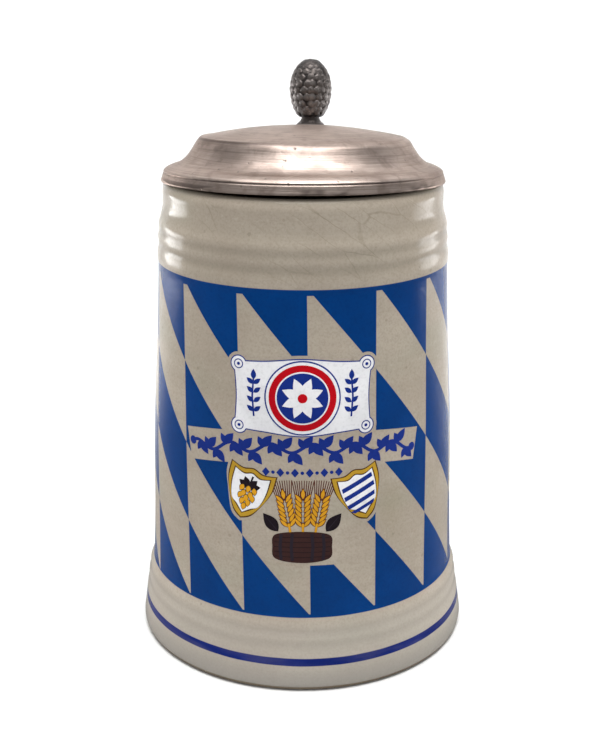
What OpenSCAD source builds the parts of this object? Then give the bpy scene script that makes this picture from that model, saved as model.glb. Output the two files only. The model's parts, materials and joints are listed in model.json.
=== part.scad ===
// Half-litre stoneware beer stein with a hinged pewter lid.
// Origin: centre of the foot ring, on the surface the stein stands on.
// +Z is up, +Y points to the handle and the hinge, -Y is the decorated front.

/* [Vessel] */
// Height of the drinking lip above the table
lip_z = 138.2; // [137:0.1:139]
// Largest radius, just above the foot
base_r = 50.2; // [49.5:0.1:52]
// Radius at the top of the flared base
waist_r = 46.5; // [45.5:0.1:47]
// Radius at the top of the decorated band
shoulder_r = 42.1; // [41.8:0.1:42.6]
// Outer radius of the drinking lip
lip_r = 40.35; // [40:0.05:40.4]
// Wall thickness at the lip
lip_wall = 4.6; // [4:0.1:5]
// Inner radius at the bottom of the hollow
well_r = 38.4; // [36:0.1:40]
// Thickness of the floor
floor_t = 8.0; // [6:0.5:10]
// Depth of the recess inside the foot ring
foot_recess = 1.6; // [1:0.1:3]

/* [Handle] */
// Width of the handle, side to side
handle_w = 20; // [16:0.5:21]
// Thickness of the handle
handle_t = 11; // [9:0.5:12]
// Height of the centre of the straight top run
handle_z = 113; // [110:0.5:114]

/* [Hinge] */
// Distance of the hinge pin behind the stein's axis
hinge_y = 51; // [50.8:0.1:51.4]
// Height of the hinge pin
hinge_z = 137.5; // [137.4:0.05:137.7]
// Outer radius of the knuckles
knuckle_r = 4.0; // [3.6:0.1:4.2]
// Radius of the steel pin
pin_r = 1.25; // [1.1:0.05:1.5]
// Radial clearance of the pin in the lid's knuckle
pin_clearance = 0.05; // [0.02:0.01:0.09]
// Full width of the hinge across the two fixed knuckles
hinge_w = 20; // [18:0.5:22]
// Width of the lid's middle knuckle
lid_knuckle_w = 9.8; // [9:0.1:10]
// Thickness of the strap round the handle
strap_t = 1.8; // [1.4:0.1:2.2]
// Width of the strap along the handle
strap_w = 8; // [6:0.5:9]

/* [Lid] */
// Angle by which the front of the closed lid stands proud of level
lid_rest_tilt = 3.4; // [3.2:0.1:3.8]
// Outer radius of the lid's rim
rim_r = 40.75; // [40.7:0.05:41]
// Wall thickness of the rim's skirt
skirt_t = 0.7; // [0.6:0.1:0.8]
// Height of the rim's band, up to its rounded shoulder
rim_h = 2.7; // [2.6:0.1:2.8]
// Radius of the flat plateau's edge
plateau_r = 29.2; // [28:0.1:30]
// Height of the plateau's edge above the bottom of the rim
plateau_h = 12.3; // [12:0.1:13]
// Rise of the low dome inside the plateau
dome_rise = 2.6; // [1.5:0.1:4]
// Thickness of the lid's wall
lid_t = 1.5; // [1.2:0.1:1.8]

/* [Thumblift] */
// Height of the cone
cone_h = 17; // [15:0.5:18]
// Greatest width of the cone
cone_w = 13.8; // [12:0.1:14]
// Height of the post between the lid's tang and the cone
post_h = 9.6; // [9:0.1:11]

/* [Hidden] */
$fn = 96;

stoneware = "#bdb5a6";
pewter = "#a79d95";
dark_pewter = "#5d5a58";
steel = "#8c8c8c";

base_top_z = 21.5;       // where the flared base meets the upright wall
base_slope = 0.142;      // how fast the flared base narrows, mm per mm of height
foot_land_in = 41.0;     // inner radius of the foot ring's land
foot_land_out = 48.6;    // outer radius of the foot ring's land
lip_round_in = 2.3;      // how far the lip's rounding runs inwards
lip_round_h = 3.6;       // height of the lip's rounding
band_top_z = 115;        // top of the decorated band, where a thicker collar begins
lip_zone_z = 128;        // middle of the slope from the collar in to the lip
ridge_depth = 0.22;      // depth of the throwing ridges

strap_y0 = 49.0;         // front face of the strap
lid_y = 1.0;             // the lid sits this far behind the vessel's axis
lid_z = 133.95;          // bottom edge of the rim before the lid is tilted
skirt_r = rim_r - skirt_t;
ledge_h = 3.8;           // underside of the lid over the drinking lip
lid_tip_r = 37.4;        // radius where the shell's wall meets the rim
lid_tip_h = 4.55;        // height of the outer surface at that joint
post_y = 48;             // the thumblift stands this far behind the axis
fixed_w = 4.8;           // width of each fixed knuckle
knuckle_gap = hinge_w / 2 - fixed_w;  // half the gap between the fixed knuckles
knuckle_room = 0.5;      // radial room round the lid's knuckle

// ---- shared outlines --------------------------------------------------------

// Smooth step from 0 at a to 1 at b.
function ramp(a, b, x) = let (t = max(0, min(1, (x - a) / (b - a)))) t * t * (3 - 2 * t);

// A rounded groove of width w centred on height c.
function groove(z, c, w) = abs(z - c) < w ? (1 + cos(180 * (z - c) / w)) / 2 : 0;

// Outer radius of the wall at height z: a straight taper with a slight belly, a
// conical base that steps in to it, a collar that slopes in to the lip, and
// throwing grooves.
function wall_r(z) =
    let (
        taper = waist_r + (shoulder_r - waist_r) * (z - base_top_z) / (band_top_z - base_top_z),
        belly = 0.5 * groove(z, 66, 36),
        collar = 0.3 * ramp(band_top_z - 1.8, band_top_z + 1.8, z),
        upright = taper + belly + collar,
        base_cone = base_r - base_slope * (z - 2.5),
        in_base = 1 - ramp(base_top_z - 2.9, base_top_z + 1.1, z),
        in_lip = ramp(lip_zone_z - 3.5, lip_zone_z + 3.5, z),
        ridges = groove(z, 124.1, 2.2) + groove(z, 120, 2.2)
            + groove(z, 17.6, 2.2) + groove(z, 13.5, 2.2)
    )
    upright + (base_cone - upright) * in_base + (lip_r - upright) * in_lip - ridge_depth * ridges;

// Quarter of an ellipse from angle a0 to a1, centred on c, with half axes rx and ry.
function arc_pts(c, rx, ry, a0, a1, n) =
    [for (i = [0:n]) let (a = a0 + (a1 - a0) * i / n) c + [rx * cos(a), ry * sin(a)]];

// Superellipse used for the handle's section, w by t.
function section_pts(w, t) =
    [for (i = [0:23])
        let (a = 360 * i / 24, c = cos(a), s = sin(a), p = 0.72)
        [sign(c) * pow(abs(c), p) * w / 2, sign(s) * pow(abs(s), p) * t / 2]];

// ---- mug --------------------------------------------------------------------

module vessel() {
    lip_in = lip_r - lip_wall;
    lip_top_r = lip_r - lip_round_in;
    outline = concat(
        [[0, foot_recess], [foot_land_in - 1.5, foot_recess], [foot_land_in, 0], [foot_land_out, 0]],
        arc_pts([foot_land_out, 1.4], base_r - foot_land_out - 0.1, 1.4, -60, 0, 4),
        [for (z = [2.5:1.5:lip_z - lip_round_h - 0.5]) [wall_r(z), z]],
        arc_pts([lip_top_r, lip_z - lip_round_h], lip_round_in, lip_round_h, 0, 90, 8),
        arc_pts([lip_in + 1.8, lip_z - 1.8], 1.8, 1.8, 100, 180, 5),
        [[lip_in, lip_z - 8], [well_r, floor_t + 9]],
        arc_pts([well_r - 8, floor_t + 8], 8, 8, 0, -90, 8),
        [[0, floor_t]]
    );
    color(stoneware)
        rotate_extrude($fn = 128)
            polygon(outline);
}

// The handle follows tangent arcs in the Y-Z plane: a straight top run, a tight
// bend, a long back, and a tail that turns in and meets the wall above the flare.
// Each arc is [radius, angle turned, steps]; headings are below the horizontal.
handle_arcs = [[20, 100, 12], [90, 25, 8], [30, 30, 6]];
bend_y = 58;             // where the straight top run ends
root_y = 39.5;           // the top end is bedded in the wall
tail_len = 11;           // straight end of the tail, bedded in the wall
tail_w = 0.86;           // width of the tail as a share of the top's
tail_t = 0.9;            // thickness of the tail as a share of the top's

// Points [y, z, heading] along one arc that starts at p, without its first point.
function arc_run(p, arc) =
    [for (i = [1:arc[2]])
        let (h = p[2] + arc[1] * i / arc[2])
        [p[0] + arc[0] * (sin(h) - sin(p[2])), p[1] + arc[0] * (cos(h) - cos(p[2])), h]];

// All points along the arcs from number k on, starting at p.
function arc_chain(p, k) =
    k == len(handle_arcs) ? []
    : let (run = arc_run(p, handle_arcs[k]))
        concat(run, arc_chain(run[len(run) - 1], k + 1));

module handle() {
    bends = arc_chain([bend_y, handle_z, 0], 0);
    last = bends[len(bends) - 1];
    tail = [last[0] + tail_len * cos(last[2]), last[1] - tail_len * sin(last[2]), last[2]];
    route = concat([[root_y, handle_z, 0], [bend_y, handle_z, 0]], bends, [tail]);
    sides = len(section_pts(1, 1));
    rings = len(route);
    points = [
        for (k = [0:rings - 1])
            let (
                p = route[k],
                taper = max(0, (k - 2) / (rings - 3)),
                w = handle_w * (1 + (tail_w - 1) * taper),
                t = handle_t * (1 + (tail_t - 1) * taper)
            )
            for (q = section_pts(w, t))
                [q[0], p[0] + q[1] * sin(p[2]), p[1] + q[1] * cos(p[2])]
    ];
    sides_faces = [
        for (k = [0:rings - 2], i = [0:sides - 1])
            let (a = k * sides + i, b = k * sides + (i + 1) % sides)
            [a, b, b + sides, a + sides]
    ];
    ends = [
        [for (i = [sides - 1:-1:0]) i],
        [for (i = [0:sides - 1]) (rings - 1) * sides + i]
    ];
    color(stoneware)
        polyhedron(points, concat(sides_faces, ends), convexity = 4);
}

module handle_strap() {
    color(pewter)
        translate([0, strap_y0, handle_z])
            rotate([-90, 0, 0])
                linear_extrude(strap_w)
                    difference() {
                        polygon(section_pts(handle_w + 2 * strap_t, handle_t + 2 * strap_t));
                        polygon(section_pts(handle_w, handle_t));
                    }
}

// ---- hinge ------------------------------------------------------------------

// A knuckle or rod along X, centred on the hinge axis.
module hinge_rod(r, w, x = 0) {
    translate([x - w / 2, hinge_y, hinge_z])
        rotate([0, 90, 0])
            cylinder(r = r, h = w);
}

module hinge_bracket() {
    strap_top = handle_z + handle_t / 2 + strap_t;
    shank = [
        [strap_y0, strap_top - 0.01], [strap_y0 + strap_w, strap_top - 0.01],
        [56.0, 125], [54.8, 130], [hinge_y + knuckle_r, hinge_z],
        [hinge_y - knuckle_r, hinge_z], [48.4, 132], [49.6, 126]
    ];
    color(pewter)
        difference() {
            union() {
                // the shank is narrow above the strap and widens to the knuckles
                intersection() {
                    translate([-hinge_w / 2, 0, 0])
                        rotate([90, 0, 90])
                            linear_extrude(hinge_w)
                                polygon(shank);
                    translate([0, hinge_y + 20, 0])
                        rotate([90, 0, 0])
                            linear_extrude(40)
                                polygon([
                                    [-7, strap_top - 1], [7, strap_top - 1], [6, 125], [hinge_w / 2, 132.5],
                                    [hinge_w / 2, hinge_z + 1], [-hinge_w / 2, hinge_z + 1],
                                    [-hinge_w / 2, 132.5], [-6, 125]
                                ]);
                }
                for (side = [-1, 1])
                    hinge_rod(knuckle_r, fixed_w, side * (hinge_w - fixed_w) / 2);
            }
            // room for the lid's knuckle, and for the post as the lid swings back
            hinge_rod(knuckle_r + knuckle_room, 2 * knuckle_gap);
            translate([-knuckle_gap, hinge_y - 6, hinge_z])
                cube([2 * knuckle_gap, 12, 6]);
            translate([-knuckle_gap, hinge_y, hinge_z - knuckle_r])
                cube([2 * knuckle_gap, 6, 6]);
            hinge_rod(pin_r, hinge_w + 2);
        }
}

module hinge_pin() {
    color(steel)
        hinge_rod(pin_r, hinge_w);
}

// A low dome of pewter that closes the end of the pin hole.
module pin_cap(side) {
    cap_r = 2.7;
    cap_h = 1.0;
    color(pewter)
        translate([side * hinge_w / 2, hinge_y, hinge_z])
            rotate([0, side * 90, 0])
                rotate_extrude($fn = 48)
                    polygon(concat([[0, 0]], arc_pts([0, 0], cap_r, cap_h, 0, 90, 6)));
}

// ---- lid --------------------------------------------------------------------

// Turns the level lid about the hinge to where it rests.
module at_rest() {
    translate([0, hinge_y, hinge_z])
        rotate([-lid_rest_tilt, 0, 0])
            translate([0, -hinge_y, -hinge_z])
                children();
}

// Concave shoulder from the rim up to the plateau, as steps out and down from its edge.
shoulder_steps = [
    [7.0, 7.35], [5.8, 6.7], [4.6, 5.7], [3.7, 4.75], [2.5, 3.0], [1.45, 1.3], [0.75, 0.5], [0, 0]
];

// The low dome that rises inside radius r0.
function dome_pts(r0, z0, rise) = [
    for (i = [0:8])
        let (t = i / 8)
        [r0 * (1 - t), z0 + rise * (1 - pow(1 - t, 2))]
];

module lid_shell() {
    inner_r = plateau_r - 1.2;
    inner_z = plateau_h - lid_t;
    outline = concat(
        [[lid_tip_r, ledge_h], [lid_tip_r, lid_tip_h]],
        [for (p = shoulder_steps) [plateau_r + p[0], plateau_h - p[1]]],
        dome_pts(plateau_r - 0.9, plateau_h + 0.25, dome_rise),
        [[0, plateau_h + dome_rise - lid_t]],
        [[inner_r - 6, inner_z + 0.6], [inner_r - 1.5, inner_z - 0.3]],
        [[inner_r + 1.6, plateau_h - 5.6], [inner_r + 4.0, ledge_h + 0.6], [inner_r + 5.6, ledge_h]]
    );
    color(pewter)
        at_rest()
            translate([0, lid_y, lid_z])
                rotate_extrude($fn = 128)
                    polygon(outline);
}

// A band that flares out to a lip below, and rounds over to the shell above.
module lid_rim() {
    outline = [
        [skirt_r, 0], [rim_r - 0.2, 0], [rim_r, 0.25], [rim_r - 0.1, 0.8],
        [rim_r - 0.55, rim_h - 0.7], [rim_r - 0.8, rim_h], [rim_r - 1.15, rim_h + 0.5],
        [rim_r - 1.95, rim_h + 1.15], [rim_r - 2.75, rim_h + 1.6],
        [lid_tip_r, lid_tip_h], [lid_tip_r, ledge_h],
        [skirt_r - 1.55, rim_h + 0.6], [skirt_r - 0.6, rim_h - 0.3], [skirt_r, rim_h - 1.4]
    ];
    color(pewter)
        at_rest()
            translate([0, lid_y, lid_z])
                rotate_extrude($fn = 128)
                    polygon(outline);
}

module lid_tang() {
    top = hinge_z + knuckle_r;
    plate = [
        [hinge_y, top], [hinge_y, hinge_z - 0.2], [45.5, 137.3], [41.8, 136.6],
        [40.4, 136.9], [38.6, 138.1], [35.8, 139.5], [33.4, 141.8], [31.6, 144.7],
        [32.0, 145.7], [34.4, 143.6], [37.5, 142.2], [42.0, top]
    ];
    color(pewter)
        at_rest()
            difference() {
                union() {
                    translate([-lid_knuckle_w / 2, 0, 0])
                        rotate([90, 0, 90])
                            linear_extrude(lid_knuckle_w)
                                polygon(plate);
                    hinge_rod(knuckle_r, lid_knuckle_w);
                }
                hinge_rod(pin_r + pin_clearance, lid_knuckle_w + 2);
            }
}

module thumblift_post() {
    foot_z = hinge_z + knuckle_r;
    color(pewter)
        at_rest()
            translate([0, post_y, foot_z])
                rotate_extrude($fn = 48)
                    polygon(concat(
                        [[0, 0], [4.3, 0], [4.6, 3], [4.6, 5.6]],
                        arc_pts([4.6, 7.8], 1.8, 2.2, -90, -180, 5),
                        [[2.9, post_h], [0, post_h]]
                    ));
}

// Egg-shaped cone with stepped rings where the rows of scales overlap.
module thumblift_cone() {
    rows = 8;
    widest = 0.44;           // height of the widest ring as a share of the cone
    foot_drop = 0.62;        // half axes of the lower and upper halves of the egg
    top_rise = 0.56;
    body = [
        for (k = [0:rows - 1], step = [0, 0.85])
            let (
                t = (k + step) / rows,
                x = t < widest ? (widest - t) / foot_drop : (t - widest) / top_rise,
                lip = step == 0 ? 0.93 : 1
            )
            [cone_w / 2 * sqrt(1 - x * x) * lip, t * cone_h]
    ];
    color(dark_pewter)
        at_rest()
            translate([0, post_y, hinge_z + knuckle_r + post_h])
                rotate_extrude($fn = 48)
                    polygon(concat([[0, 0]], body, [[0, cone_h]]));
}

vessel();
handle();
handle_strap();
hinge_bracket();
hinge_pin();
pin_cap(-1);  // pin_cap_left
pin_cap(1);  // pin_cap_right
lid_shell();
lid_rim();
lid_tang();
thumblift_post();
thumblift_cone();
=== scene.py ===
"""Looks of the stoneware beer stein with its pewter lid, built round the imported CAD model."""

import json
import math
import random
from functools import reduce

import bmesh
import bpy
from mathutils import Matrix, Vector, noise


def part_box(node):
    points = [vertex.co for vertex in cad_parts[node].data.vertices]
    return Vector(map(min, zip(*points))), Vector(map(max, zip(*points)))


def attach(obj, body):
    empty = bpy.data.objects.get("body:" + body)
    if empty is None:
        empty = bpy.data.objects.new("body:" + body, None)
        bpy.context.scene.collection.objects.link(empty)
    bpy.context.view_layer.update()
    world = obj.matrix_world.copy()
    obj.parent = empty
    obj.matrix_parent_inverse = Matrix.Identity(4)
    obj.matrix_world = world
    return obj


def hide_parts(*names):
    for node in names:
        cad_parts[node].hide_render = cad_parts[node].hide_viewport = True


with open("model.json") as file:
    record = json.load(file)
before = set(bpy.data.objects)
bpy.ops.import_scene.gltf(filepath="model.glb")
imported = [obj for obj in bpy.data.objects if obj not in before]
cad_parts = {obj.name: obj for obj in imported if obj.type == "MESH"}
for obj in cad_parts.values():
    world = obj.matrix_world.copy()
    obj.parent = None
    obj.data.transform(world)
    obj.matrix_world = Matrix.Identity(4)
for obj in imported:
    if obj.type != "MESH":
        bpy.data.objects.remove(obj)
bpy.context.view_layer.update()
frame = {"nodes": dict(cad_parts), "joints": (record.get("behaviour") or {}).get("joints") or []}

# ---- sizes: millimetres, taken from the frame where the frame has them ----

MM = 0.001
HINGE = Vector(frame["joints"][0]["pos_m"]) / MM
REST_TILT = math.radians(3.4)  # the closed lid's front stands proud by this angle
LID_SEAT = Matrix.Translation(HINGE) @ Matrix.Rotation(-REST_TILT, 4, "X") @ Matrix.Translation(-HINGE)
LIP_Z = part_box("vessel")[1].z / MM
BASE_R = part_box("vessel")[1].x / MM
LIP_R = 40.35
SHOULDER_R = 42.1
WAIST_R = 46.5
BASE_TOP_Z = 21.5
WELL_R = 38.4
WALL = 4.6
FLOOR_Z = 8.0
RIM_R = 40.75
SKIRT_R = 40.05
DOME_RISE = 3.0
LID_AXIS = Vector((0, 1.0, 133.95))  # foot of the lid's axis before it is tilted
POST = Vector((0, 48, HINGE.z + 4.0))
POST_H = 9.6
CONE_H = 17.0
CONE_R = 6.9
HANDLE_Z = 113.0
HANDLE_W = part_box("handle")[1].x / MM * 2
HANDLE_T = 11.0
STRAP_LOW, STRAP_HIGH = (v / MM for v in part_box("handle_strap"))
HINGE_W = (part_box("hinge_pin")[1].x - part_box("hinge_pin")[0].x) / MM

# the printed band, its lozenges and the painted line, in millimetres along and up the wall
PRINT_TURN = math.radians(2.7)  # the print's centre is this far round from the front
BAND_LOW = 21.6
BAND_HIGH = 115.2
BAND_END = math.radians(163)  # the band stops short of the handle on both sides
LOZENGE_LOW = 22.6
LOZENGE_HIGH = 113.6
LOZENGE_W = 19.13
LOZENGE_H = 23.4
LOZENGE_U = 1.75  # an upright edge crosses the middle here
LOZENGE_Z = 68.9  # and a crossing of edges lies at this height
LOZENGE_LEAN = math.radians(0.83)
LINE_LOW = 7.75
LINE_HIGH = 10.0
GROOVES = (124.1, 120.0, 17.6, 13.5)  # heights of the throwing grooves


# ---- small mesh kit ----

def link_new(name, data):
    made = bpy.data.objects.new(name, data)
    bpy.context.scene.collection.objects.link(made)
    return made


def new_mesh(name, bm, *materials):
    """An object from a bmesh, which is used up."""
    mesh = bpy.data.meshes.new(name)
    bm.to_mesh(mesh)
    bm.free()
    for material in materials:
        mesh.materials.append(material)
    return link_new(name, mesh)


def finish_piece(name, bm, material, body, slot, nodes=(), sharp=35, merge=1e-4):
    """A bmesh in millimetres becomes a smooth-shaded piece in metres that rides on a body."""
    if merge:
        bmesh.ops.remove_doubles(bm, verts=bm.verts, dist=merge)
    bmesh.ops.recalc_face_normals(bm, faces=bm.faces)
    bmesh.ops.scale(bm, vec=(MM, MM, MM), verts=bm.verts)
    piece = new_mesh(name, bm, material)
    piece.data.shade_smooth()
    piece.data.set_sharp_from_angle(angle=math.radians(sharp))
    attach(piece, body)
    if nodes:
        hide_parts(*nodes)


def finish_on_lid(name, bm, foot, material, slot, node, **settings):
    """The same for a piece of the lid, drawn level: moves it to its foot and tilts it."""
    bmesh.ops.translate(bm, vec=foot, verts=bm.verts)
    bmesh.ops.transform(bm, matrix=LID_SEAT, verts=bm.verts)
    finish_piece(name, bm, material, "lid", slot, [node], **settings)


def new_verts(items):
    """The vertices among what an operator made."""
    return [v for v in items if isinstance(v, bmesh.types.BMVert)]


def lathe(outline, steps):
    """Spins an outline of (radius, height) points about +Z."""
    bm = bmesh.new()
    verts = [bm.verts.new((r, 0, z)) for r, z in outline]
    edges = [bm.edges.new(pair) for pair in zip(verts, verts[1:])]
    bmesh.ops.spin(bm, geom=verts + edges, axis=(0, 0, 1), cent=(0, 0, 0), dvec=(0, 0, 0),
                   angle=math.tau, steps=steps, use_merge=True)
    bmesh.ops.remove_doubles(bm, verts=bm.verts, dist=1e-4)
    return bm


def loft(rings, closed_loop=False):
    """Skins equal rings of points one after another; the ends are capped, or joined in a loop."""
    bm = bmesh.new()
    verts = [bm.verts.new(p) for p in rings[0]]
    edges = [bm.edges.new((a, b)) for a, b in zip(verts, verts[1:] + verts[:1])]
    first = verts
    if not closed_loop:
        bm.faces.new(verts)
    for ring in rings[1:]:
        out = bmesh.ops.extrude_edge_only(bm, edges=edges)
        fresh = set(new_verts(out["geom"]))
        verts = [next(e.other_vert(v) for e in v.link_edges if e.other_vert(v) in fresh) for v in verts]
        for v, p in zip(verts, ring):
            v.co = p
        edges = [bm.edges.get((a, b)) for a, b in zip(verts, verts[1:] + verts[:1])]
    if closed_loop:
        for a, b, c, d in zip(verts, verts[1:] + verts[:1], first[1:] + first[:1], first):
            bm.faces.new((a, b, c, d))
    else:
        bm.faces.new(verts)
    return bm


def arc(centre, rx, ry, start, end, count):
    """Points on an ellipse's arc, angles in degrees, both ends included."""
    angles = [math.radians(start + (end - start) * i / count) for i in range(count + 1)]
    return [(centre[0] + rx * math.cos(a), centre[1] + ry * math.sin(a)) for a in angles]


def smooth_line(points, per_span=6):
    """A Catmull-Rom curve through the points."""
    ends = [points[0], *points, points[-1]]
    line = []
    for p0, p1, p2, p3 in zip(ends, ends[1:], ends[2:], ends[3:]):
        for i in range(per_span):
            t = i / per_span
            line.append(tuple(
                0.5 * (2 * b + (c - a) * t + (2 * a - 5 * b + 4 * c - d) * t ** 2
                       + (3 * b - a - 3 * c + d) * t ** 3)
                for a, b, c, d in zip(p0, p1, p2, p3)))
    return [*line, points[-1]]


def ramp(low, high, x):
    t = max(0.0, min(1.0, (x - low) / (high - low)))
    return t * t * (3 - 2 * t)


def hump(x, centre, half):
    """A rounded bump of height 1 and the given half width."""
    return (1 + math.cos(math.pi * (x - centre) / half)) / 2 if abs(x - centre) < half else 0.0


# ---- material kit ----

class Graph:
    """Adds nodes to one tree and joins them, so that a pattern reads as a formula."""

    def __init__(self, tree):
        self.tree = tree

    def join(self, socket, value):
        if isinstance(value, bpy.types.NodeSocket):
            self.tree.links.new(value, socket)
        else:
            socket.default_value = value

    def node(self, kind, inputs=(), **settings):
        """A new node; its inputs are given by name or number, or simply in order."""
        made = self.tree.nodes.new(kind)
        for key, value in settings.items():
            setattr(made, key, value)
        for key, value in inputs.items() if isinstance(inputs, dict) else enumerate(inputs):
            self.join(made.inputs[key], value)
        return made

    def math(self, operation, *values):
        return self.node("ShaderNodeMath", values, operation=operation).outputs[0]

    def add(self, *values):
        return reduce(lambda a, b: self.math("ADD", a, b), values)

    def mul(self, *values):
        return reduce(lambda a, b: self.math("MULTIPLY", a, b), values)

    def sub(self, a, b):
        return self.math("SUBTRACT", a, b)

    def length(self, x, y):
        return self.math("SQRT", self.add(self.mul(x, x), self.mul(y, y)))

    def step(self, low, high, value, to_low=0.0, to_high=1.0):
        """Smooth step of value from low to high."""
        ends = {"From Min": low, "From Max": high, "To Min": to_low, "To Max": to_high}
        return self.node("ShaderNodeMapRange", {**ends, "Value": value},
                         interpolation_type="SMOOTHSTEP").outputs["Result"]

    def between(self, low, high, soft, value):
        """1 from low to high, with edges this soft."""
        return self.mul(self.step(low - soft, low + soft, value), self.step(high + soft, high - soft, value))

    def hump(self, value, centre, width):
        """1 at the centre, falling off as a bell."""
        x = self.math("DIVIDE", self.sub(value, centre), width)
        return self.math("EXPONENT", self.mul(x, x, -1.0))

    def mix(self, factor, a, b):
        a, b = ((*v, 1.0) if isinstance(v, tuple) and len(v) == 3 else v for v in (a, b))
        return self.node("ShaderNodeMix", {0: factor, 6: a, 7: b}, data_type="RGBA").outputs[2]

    def tint(self, tone, *layers):
        """Lays colours over a tone, each a (share, low, high, value, colour) that steps in with its value."""
        for share, low, high, value, colour in layers:
            tone = self.mix(self.mul(self.step(low, high, value), share), tone, colour)
        return tone

    def scaled(self, vector, scale):
        return self.node("ShaderNodeVectorMath", (vector, scale), operation="MULTIPLY").outputs[0]

    def noise(self, vector, scale, detail=2.0, rough=0.5, distortion=0.0, part="Fac"):
        return self.node("ShaderNodeTexNoise", {"Vector": vector, "Scale": scale, "Detail": detail,
                         "Roughness": rough, "Distortion": distortion}).outputs[part]

    def cells(self, vector, scale, feature="F1"):
        return self.node("ShaderNodeTexVoronoi", {"Vector": vector, "Scale": scale}, feature=feature).outputs

    def dots(self, vector, scale, channel, rarity, size, low, high):
        """Round dots in the few cells whose own colour passes the rarity, soft from low to high."""
        cell = self.cells(vector, scale)
        reach = self.mul(self.step(rarity, 1.0, self.split(cell["Color"])[channel]), size)
        return self.step(low, high, self.sub(reach, cell["Distance"]))

    def split(self, vector):
        return self.node("ShaderNodeSeparateXYZ", (vector,)).outputs

    def bundle(self, *parts):
        return self.node("ShaderNodeCombineXYZ", parts).outputs[0]


def new_group(name, inputs, outputs):
    """An empty node group with named sockets, {name: kind} for each side."""
    tree = bpy.data.node_groups.new(name, "ShaderNodeTree")
    for way, sockets in (("INPUT", inputs), ("OUTPUT", outputs)):
        for label, kind in sockets.items():
            tree.interface.new_socket(label, in_out=way, socket_type=kind)
    graph = Graph(tree)
    return graph, graph.node("NodeGroupInput").outputs, graph.node("NodeGroupOutput").inputs


def place_group(graph, tree, **values):
    return graph.node("ShaderNodeGroup", values, node_tree=tree).outputs


def new_material(name, **constants):
    """A Principled material; constants go straight on the shader's own sockets."""
    material = bpy.data.materials.new(name)
    material.use_nodes = True
    graph = Graph(material.node_tree)
    shader = material.node_tree.nodes["Principled BSDF"]
    for key, value in constants.items():
        shader.inputs[key.replace("_", " ")].default_value = value
    place = graph.node("ShaderNodeTexCoord").outputs["Object"]
    return material, graph, shader, place


def dress(g, shader, colour, rough, height, depth, strength=0.8):
    """Joins a finish to the shader; depth in metres is how far a height of 1 stands up."""
    g.join(shader.inputs["Base Color"], colour)
    g.join(shader.inputs["Roughness"], rough)
    relief = g.node("ShaderNodeBump", {"Height": height, "Distance": depth, "Strength": strength})
    g.join(shader.inputs["Normal"], relief.outputs["Normal"])


# ---- shared finishes ----

FLOAT = "NodeSocketFloat"
COLOUR = "NodeSocketColor"
VECTOR = "NodeSocketVector"
FINISH = {"Colour": COLOUR, "Roughness": FLOAT, "Height": FLOAT}


def glaze_group():
    """Grey-beige salt glaze on stoneware: cloudy tone, grain, grey specks, iron spots, crazing."""
    g, given, out = new_group(
        "stoneware glaze", {"Place": VECTOR, "Strain": VECTOR, "Crazing": FLOAT}, FINISH)
    place = given["Place"]
    clouds = g.noise(place, 34.0, 3.0, 0.55)
    streaks = g.noise(g.scaled(place, (9.0, 9.0, 420.0)), 1.0, 3.0, 0.6)
    tinge = g.noise(g.scaled(place, (26.0, 26.0, 60.0)), 1.0)
    grain = g.noise(place, 1500.0, 2.0, 0.6)
    pale = g.noise(place, 900.0)
    tone = g.mix(g.step(0.3, 0.7, clouds), (0.380, 0.325, 0.262), (0.434, 0.380, 0.310))
    tone = g.tint(
        tone,
        (0.24, 0.35, 0.75, streaks, (0.300, 0.262, 0.205)),
        (0.30, 0.52, 0.72, tinge, (0.300, 0.298, 0.225)),
        (0.26, 0.46, 0.28, tinge, (0.460, 0.380, 0.315)),
        (0.34, 0.40, 0.72, grain, (0.250, 0.218, 0.168)),
        (0.16, 0.58, 0.74, pale, (0.56, 0.51, 0.43)))
    # small grey specks in the clay, and a few larger iron spots that bled into the glaze
    speck = g.dots(place, 330.0, 0, 0.70, 0.20, -0.01, 0.06)
    tone = g.mix(g.mul(speck, 0.28), tone, (0.15, 0.12, 0.085))
    spot = g.dots(place, 48.0, 1, 0.90, 0.030, -0.002, 0.012)
    tone = g.mix(g.mul(spot, 0.8), tone, (0.075, 0.040, 0.022))
    # fine crazing, where the glaze took a strain
    drift = g.noise(place, 110.0, 3.0, part="Color")
    bent = g.node("ShaderNodeVectorMath", (given["Strain"], g.scaled(drift, (0.30, 0.55, 0.30))),
                  operation="ADD").outputs[0]
    cracks = g.cells(bent, 1.0, "DISTANCE_TO_EDGE")["Distance"]
    broken = g.step(0.40, 0.62, g.noise(place, 38.0))
    crack = g.mul(g.step(0.026, 0.006, cracks), given["Crazing"], broken)
    g.join(out["Colour"], g.mix(g.mul(crack, 0.42), tone, (0.19, 0.165, 0.115)))
    g.join(out["Roughness"], g.add(0.10, g.mul(clouds, 0.07), g.mul(grain, 0.05)))
    g.join(out["Height"], g.add(
        g.mul(clouds, 0.5), g.mul(g.noise(place, 420.0), 0.22), g.mul(grain, 0.05),
        g.mul(crack, -0.10), g.mul(streaks, 0.16)))
    return g.tree


def enamel_group():
    """Printed enamel: slight clouds and grain in the colour, and a mask with pin holes."""
    g, given, out = new_group(
        "printed enamel", {"Place": VECTOR, "Colour": COLOUR}, {"Colour": COLOUR, "Mask": FLOAT})
    place = given["Place"]
    g.join(out["Colour"], g.tint(
        given["Colour"],
        (0.16, 0.35, 0.7, g.noise(place, 55.0, 3.0, 0.6), (0.0, 0.0, 0.01)),
        (0.10, 0.45, 0.75, g.noise(place, 1200.0), (0.0, 0.0, 0.01))))
    hole = g.dots(place, 150.0, 2, 0.90, 0.05, 0.0, 0.02)
    g.join(out["Mask"], g.sub(1.0, g.mul(hole, 0.8)))
    return g.tree


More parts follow.
